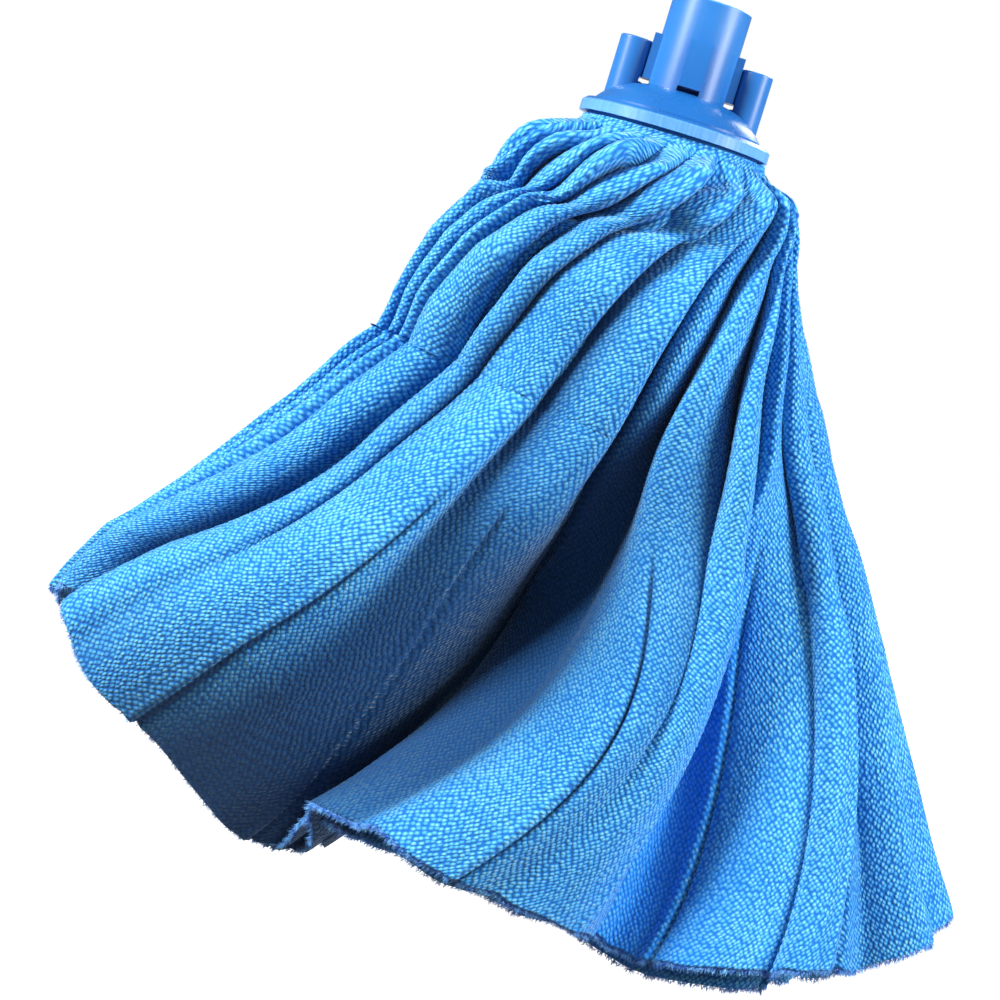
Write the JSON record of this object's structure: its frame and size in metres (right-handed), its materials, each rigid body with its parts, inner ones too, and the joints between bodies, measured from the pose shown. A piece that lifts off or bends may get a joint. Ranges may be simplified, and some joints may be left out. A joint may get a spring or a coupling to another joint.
{
  "type": "spin mop head",
  "caption": "Cloth mop head: a moulded screw socket over a wide fan of blue microfibre flaps, each hinged at the flange so that it flares when the mop spins.",
  "frame": {"origin": "centre of the handle socket's mouth", "axes": "+Z out of the socket along the handle; the cloth fan is widest along X and shallow along Y, and its front faces -Y"},
  "size_m": [0.368, 0.192, 0.3395],
  "materials": {
    "moulded_plastic": "satin",
    "microfibre": "matte"
  },
  "bodies": {
    "head": {"socket_cap": "moulded_plastic", "clamp_plate": "moulded_plastic", "sheet_middle_1": "microfibre", "sheet_middle_2": "microfibre", "sheet_middle_3": "microfibre", "sheet_middle_4": "microfibre", "sheet_middle_5": "microfibre", "sheet_middle_6": "microfibre", "sheet_middle_7": "microfibre", "sheet_middle_8": "microfibre"},
    "flap_1": {"flap_1_outer": "microfibre", "flap_1_inner": "microfibre"},
    "flap_2": {"flap_2_outer": "microfibre", "flap_2_inner": "microfibre"},
    "flap_3": {"flap_3_outer": "microfibre", "flap_3_inner": "microfibre"},
    "flap_4": {"flap_4_outer": "microfibre", "flap_4_inner": "microfibre"},
    "flap_5": {"flap_5_outer": "microfibre", "flap_5_inner": "microfibre"},
    "flap_6": {"flap_6_outer": "microfibre", "flap_6_inner": "microfibre"},
    "flap_7": {"flap_7_outer": "microfibre", "flap_7_inner": "microfibre"},
    "flap_8": {"flap_8_outer": "microfibre", "flap_8_inner": "microfibre"}
  },
  "joints": [
    {"name": "flap_1_swing", "type": "hinge", "parent": "head", "child": "flap_1", "pos_m": [0, -0.04056, -0.0512], "axis": [-1, 0, 0], "range_deg": [0, 50]},
    {"name": "flap_2_swing", "type": "hinge", "parent": "head", "child": "flap_2", "pos_m": [0.02868, -0.02868, -0.0512], "axis": [-0.5456, -0.838, 0], "range_deg": [0, 50]},
    {"name": "flap_3_swing", "type": "hinge", "parent": "head", "child": "flap_3", "pos_m": [0.04056, 0, -0.0512], "axis": [0, -1, 0], "range_deg": [0, 50]},
    {"name": "flap_4_swing", "type": "hinge", "parent": "head", "child": "flap_4", "pos_m": [0.02868, 0.02868, -0.0512], "axis": [0.5456, -0.838, 0], "range_deg": [0, 50]},
    {"name": "flap_5_swing", "type": "hinge", "parent": "head", "child": "flap_5", "pos_m": [0, 0.04056, -0.0512], "axis": [1, 0, 0], "range_deg": [0, 50]},
    {"name": "flap_6_swing", "type": "hinge", "parent": "head", "child": "flap_6", "pos_m": [-0.02868, 0.02868, -0.0512], "axis": [0.5456, 0.838, 0], "range_deg": [0, 50]},
    {"name": "flap_7_swing", "type": "hinge", "parent": "head", "child": "flap_7", "pos_m": [-0.04056, 0, -0.0512], "axis": [0, 1, 0], "range_deg": [0, 50]},
    {"name": "flap_8_swing", "type": "hinge", "parent": "head", "child": "flap_8", "pos_m": [-0.02868, -0.02868, -0.0512], "axis": [-0.5456, 0.838, 0], "range_deg": [0, 50]}
  ]
}
